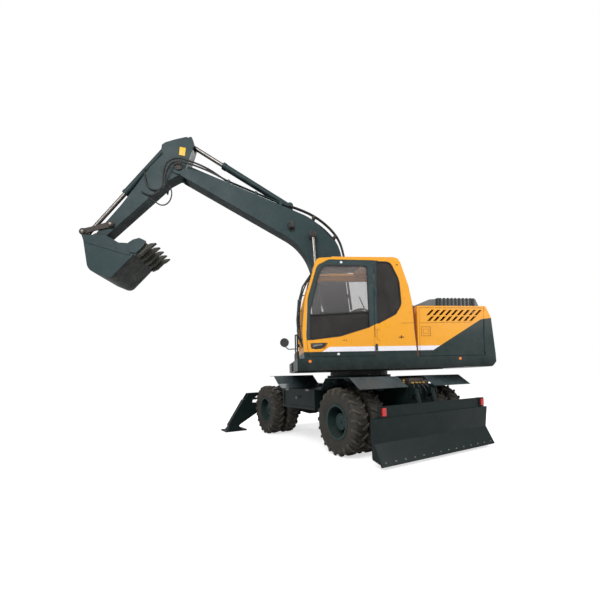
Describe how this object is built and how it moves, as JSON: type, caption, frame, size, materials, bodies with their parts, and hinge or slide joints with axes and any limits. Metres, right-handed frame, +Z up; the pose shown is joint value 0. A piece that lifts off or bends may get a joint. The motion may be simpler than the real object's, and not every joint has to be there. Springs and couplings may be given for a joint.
{
  "type": "wheeled excavator",
  "caption": "Wheeled excavator on twin tyres with a slewing cab, one-piece boom, arm, toothed bucket, dozer blade and outriggers.",
  "frame": {"origin": "on the ground under the slewing axis, between the axles", "axes": "+X along the undercarriage towards the steered axle and outriggers, +Y to its left, +Z up; the upper structure faces 66.1 degrees from +X towards +Y"},
  "size_m": [5.0848, 7.0145, 5.7383],
  "materials": {
    "yellow_paint": "gloss",
    "slate_paint": "satin",
    "dark_green_paint": "satin",
    "chrome_rod": "polished",
    "tyre": "matt",
    "glass": "clear",
    "seat_fabric": "woven",
    "black_plastic": "matt",
    "dark_steel": "matt",
    "pipe_steel": "satin",
    "amber_lens": "gloss",
    "red_lens": "gloss",
    "engine_casting": "matt"
  },
  "bodies": {
    "undercarriage": {"chassis": "dark_green_paint", "rear_axle": "dark_green_paint", "front_axle": "dark_green_paint", "mudguards": "dark_green_paint", "toolbox_left": "dark_green_paint", "toolbox_right": "dark_green_paint", "transmission": "dark_green_paint"},
    "upper": {"deck": "dark_green_paint", "counterweight": "yellow_paint", "engine": "engine_casting", "hood": "yellow_paint", "tank": "yellow_paint", "cab": "yellow_paint", "seat": "seat_fabric", "steps": "dark_green_paint", "cab_glass": "glass", "cab_controls": "black_plastic", "handrails": "slate_paint", "mirror": "black_plastic", "skirt_lamps": "amber_lens"},
    "cab_door": {"cab_door": "slate_paint", "door_glass": "glass"},
    "engine_lid": {"engine_lid": "slate_paint"},
    "side_door_left": {"side_door_left": "yellow_paint"},
    "side_door_right": {"side_door_right": "yellow_paint"},
    "boom": {"boom": "slate_paint", "boom_pipes": "pipe_steel", "work_lamp": "black_plastic"},
    "boom_ram_barrels": {"boom_ram_barrels": "slate_paint"},
    "boom_ram_rods": {"boom_ram_rods": "chrome_rod"},
    "arm": {"arm": "slate_paint"},
    "arm_ram_barrel": {"arm_ram_barrel": "slate_paint"},
    "arm_ram_rod": {"arm_ram_rod": "chrome_rod"},
    "bucket": {"bucket": "slate_paint"},
    "bucket_ram_barrel": {"bucket_ram_barrel": "slate_paint"},
    "bucket_ram_rod": {"bucket_ram_rod": "chrome_rod"},
    "idler_links": {"idler_links": "dark_steel"},
    "bucket_link": {"bucket_link": "slate_paint"},
    "blade": {"blade": "dark_green_paint", "blade_lamps": "red_lens"},
    "blade_ram_barrels": {"blade_ram_barrels": "dark_green_paint"},
    "blade_ram_rods": {"blade_ram_rods": "chrome_rod"},
    "knuckle_left": {"knuckle_left": "dark_green_paint"},
    "knuckle_right": {"knuckle_right": "dark_green_paint"},
    "outrigger_left": {"outrigger_left": "dark_green_paint"},
    "outrigger_barrel_left": {"outrigger_barrel_left": "dark_green_paint"},
    "outrigger_rod_left": {"outrigger_rod_left": "chrome_rod"},
    "outrigger_right": {"outrigger_right": "dark_green_paint"},
    "outrigger_barrel_right": {"outrigger_barrel_right": "dark_green_paint"},
    "outrigger_rod_right": {"outrigger_rod_right": "chrome_rod"},
    "wheel_rear_left": {"wheel_rear_left": "dark_green_paint", "tyres_rear_left": "tyre"},
    "wheel_rear_right": {"wheel_rear_right": "dark_green_paint", "tyres_rear_right": "tyre"},
    "wheel_front_left": {"wheel_front_left": "dark_green_paint", "tyres_front_left": "tyre"},
    "wheel_front_right": {"wheel_front_right": "dark_green_paint", "tyres_front_right": "tyre"}
  },
  "joints": [
    {"name": "slew", "type": "hinge", "parent": "undercarriage", "child": "upper", "pos_m": [0, 0, 1.26], "axis": [0, 0, 1], "continuous": true},
    {"name": "boom_lift", "type": "hinge", "parent": "upper", "child": "boom", "pos_m": [0.18357, 0.1921, 1.9], "axis": [0.9143, -0.4051, 0], "range_deg": [-87, 12]},
    {"name": "boom_ram_swing", "type": "hinge", "parent": "upper", "child": "boom_ram_barrels", "pos_m": [0.38411, 0.64466, 1.5], "axis": [0.9143, -0.4051, 0], "range_deg": [-91.55, 13.06]},
    {"name": "boom_ram_stroke", "type": "slide", "parent": "boom_ram_barrels", "child": "boom_ram_rods", "axis": [0.0194, 0.0438, 0.9989], "range_m": [-0.8671, 0.1213]},
    {"name": "arm_swing", "type": "hinge", "parent": "boom", "child": "arm", "pos_m": [1.41266, 2.9657, 5.14192], "axis": [-0.9143, 0.4051, 0], "range_deg": [-55, 60]},
    {"name": "arm_ram_swing", "type": "hinge", "parent": "boom", "child": "arm_ram_barrel", "pos_m": [0.59582, 1.1224, 4.56069], "axis": [-0.9143, 0.4051, 0], "range_deg": [-1.46, 1.55]},
    {"name": "arm_ram_stroke", "type": "slide", "parent": "arm_ram_barrel", "child": "arm_ram_rod", "axis": [0.3489, 0.7874, 0.5081], "range_m": [-0.4282, 0.4669]},
    {"name": "bucket_curl", "type": "hinge", "parent": "arm", "child": "bucket", "pos_m": [1.97709, 4.23941, 3.79185], "axis": [-0.9143, 0.4051, 0], "range_deg": [-140, 15]},
    {"name": "idler_swing", "type": "hinge", "parent": "arm", "child": "idler_links", "pos_m": [1.88523, 4.03211, 4.045], "axis": [-0.9143, 0.4051, 0], "range_deg": [-84.32, 9.48]},
    {"name": "bucket_link_swing", "type": "hinge", "parent": "idler_links", "child": "bucket_link", "pos_m": [2.06982, 4.44867, 3.89728], "axis": [-0.9143, 0.4051, 0], "range_deg": [-5.93, 51.2]},
    {"name": "bucket_ram_swing", "type": "hinge", "parent": "arm", "child": "bucket_ram_barrel", "pos_m": [1.50075, 3.16449, 5.57177], "axis": [-0.9143, 0.4051, 0], "range_deg": [-6.92, 1.19]},
    {"name": "bucket_ram_stroke", "type": "slide", "parent": "bucket_ram_barrel", "child": "bucket_ram_rod", "axis": [0.2604, 0.5876, -0.7661], "range_m": [-0.607, 0.0668]},
    {"name": "blade_lift", "type": "hinge", "parent": "undercarriage", "child": "blade", "pos_m": [-1.44, 0, 0.56], "axis": [0, 1, 0], "range_deg": [-12, 27]},
    {"name": "blade_ram_swing", "type": "hinge", "parent": "undercarriage", "child": "blade_ram_barrels", "pos_m": [-1.64, 0, 0.99], "axis": [0, 1, 0], "range_deg": [-3.75, 7.8]},
    {"name": "blade_ram_stroke", "type": "slide", "parent": "blade_ram_barrels", "child": "blade_ram_rods", "axis": [-0.2647, 0, -0.9643], "range_m": [-0.152, 0.0686]},
    {"name": "outrigger_left_lift", "type": "hinge", "parent": "undercarriage", "child": "outrigger_left", "pos_m": [2.8, 0.48, 0.56], "axis": [1, 0, 0], "range_deg": [-10, 90]},
    {"name": "outrigger_left_ram_swing", "type": "hinge", "parent": "undercarriage", "child": "outrigger_barrel_left", "pos_m": [2.8, 0.33, 0.76], "axis": [1, 0, 0], "range_deg": [-10.96, 94.6]},
    {"name": "outrigger_left_ram_stroke", "type": "slide", "parent": "outrigger_barrel_left", "child": "outrigger_rod_left", "axis": [0, 0.9996, -0.0273], "range_m": [-0.3518, 0.0409]},
    {"name": "outrigger_right_lift", "type": "hinge", "parent": "undercarriage", "child": "outrigger_right", "pos_m": [2.8, -0.48, 0.56], "axis": [-1, 0, 0], "range_deg": [-10, 90]},
    {"name": "outrigger_right_ram_swing", "type": "hinge", "parent": "undercarriage", "child": "outrigger_barrel_right", "pos_m": [2.8, -0.33, 0.76], "axis": [-1, 0, 0], "range_deg": [-10.96, 94.6]},
    {"name": "outrigger_right_ram_stroke", "type": "slide", "parent": "outrigger_barrel_right", "child": "outrigger_rod_right", "axis": [0, -0.9996, -0.0273], "range_m": [-0.3518, 0.0409]},
    {"name": "steer_left", "type": "hinge", "parent": "undercarriage", "child": "knuckle_left", "pos_m": [1.85, 0.56, 0.535], "axis": [0, 0, 1], "range_deg": [-30, 30]},
    {"name": "steer_right", "type": "hinge", "parent": "undercarriage", "child": "knuckle_right", "pos_m": [1.85, -0.56, 0.535], "axis": [0, 0, 1], "range_deg": [-30.5, 30.5]},
    {"name": "rear_left_wheel_spin", "type": "hinge", "parent": "undercarriage", "child": "wheel_rear_left", "pos_m": [-0.95, 1.1125, 0.535], "axis": [0, 1, 0], "continuous": true},
    {"name": "rear_right_wheel_spin", "type": "hinge", "parent": "undercarriage", "child": "wheel_rear_right", "pos_m": [-0.95, -1.1125, 0.535], "axis": [0, 1, 0], "continuous": true},
    {"name": "front_left_wheel_spin", "type": "hinge", "parent": "knuckle_left", "child": "wheel_front_left", "pos_m": [1.85, 1.1125, 0.535], "axis": [0, 1, 0], "continuous": true},
    {"name": "front_right_wheel_spin", "type": "hinge", "parent": "knuckle_right", "child": "wheel_front_right", "pos_m": [1.85, -1.1125, 0.535], "axis": [0, 1, 0], "continuous": true},
    {"name": "cab_door_swing", "type": "hinge", "parent": "upper", "child": "cab_door", "pos_m": [-1.12326, 0.53823, 2.3], "axis": [0, 0, 1], "range_deg": [0, 105]},
    {"name": "engine_lid_swing", "type": "hinge", "parent": "upper", "child": "engine_lid", "pos_m": [-0.38853, -0.87677, 2.388], "axis": [-0.9143, 0.4051, 0], "range_deg": [0, 60]},
    {"name": "side_door_left_swing", "type": "hinge", "parent": "upper", "child": "side_door_left", "pos_m": [-1.90558, -1.2272, 1.9], "axis": [0, 0, -1], "range_deg": [-100, 0]},
    {"name": "side_door_right_swing", "type": "hinge", "parent": "upper", "child": "side_door_right", "pos_m": [0.37091, -2.236, 1.9], "axis": [0, 0, 1], "range_deg": [-100, 0]}
  ],
  "couplings": [
    {"joint": "boom_ram_swing", "follows": "boom_lift", "ratio": 1.0465},
    {"joint": "boom_ram_stroke", "follows": "boom_lift", "m_per_rad": 0.56974},
    {"joint": "arm_ram_swing", "follows": "arm_swing", "ratio": 0.017441},
    {"joint": "arm_ram_stroke", "follows": "arm_swing", "m_per_rad": 0.44398},
    {"joint": "idler_swing", "follows": "bucket_curl", "ratio": 0.5987},
    {"joint": "bucket_link_swing", "follows": "bucket_curl", "ratio": -0.36211},
    {"joint": "bucket_ram_swing", "follows": "bucket_curl", "ratio": 0.045888},
    {"joint": "bucket_ram_stroke", "follows": "bucket_curl", "m_per_rad": 0.24761},
    {"joint": "blade_ram_swing", "follows": "blade_lift", "ratio": 0.27044},
    {"joint": "blade_ram_stroke", "follows": "blade_lift", "m_per_rad": -0.31822},
    {"joint": "outrigger_left_ram_swing", "follows": "outrigger_left_lift", "ratio": 1.0455},
    {"joint": "outrigger_left_ram_stroke", "follows": "outrigger_left_lift", "m_per_rad": -0.22268},
    {"joint": "outrigger_right_ram_swing", "follows": "outrigger_right_lift", "ratio": 1.0455},
    {"joint": "outrigger_right_ram_stroke", "follows": "outrigger_right_lift", "m_per_rad": -0.22268},
    {"joint": "steer_right", "follows": "steer_left", "ratio": 1}
  ]
}
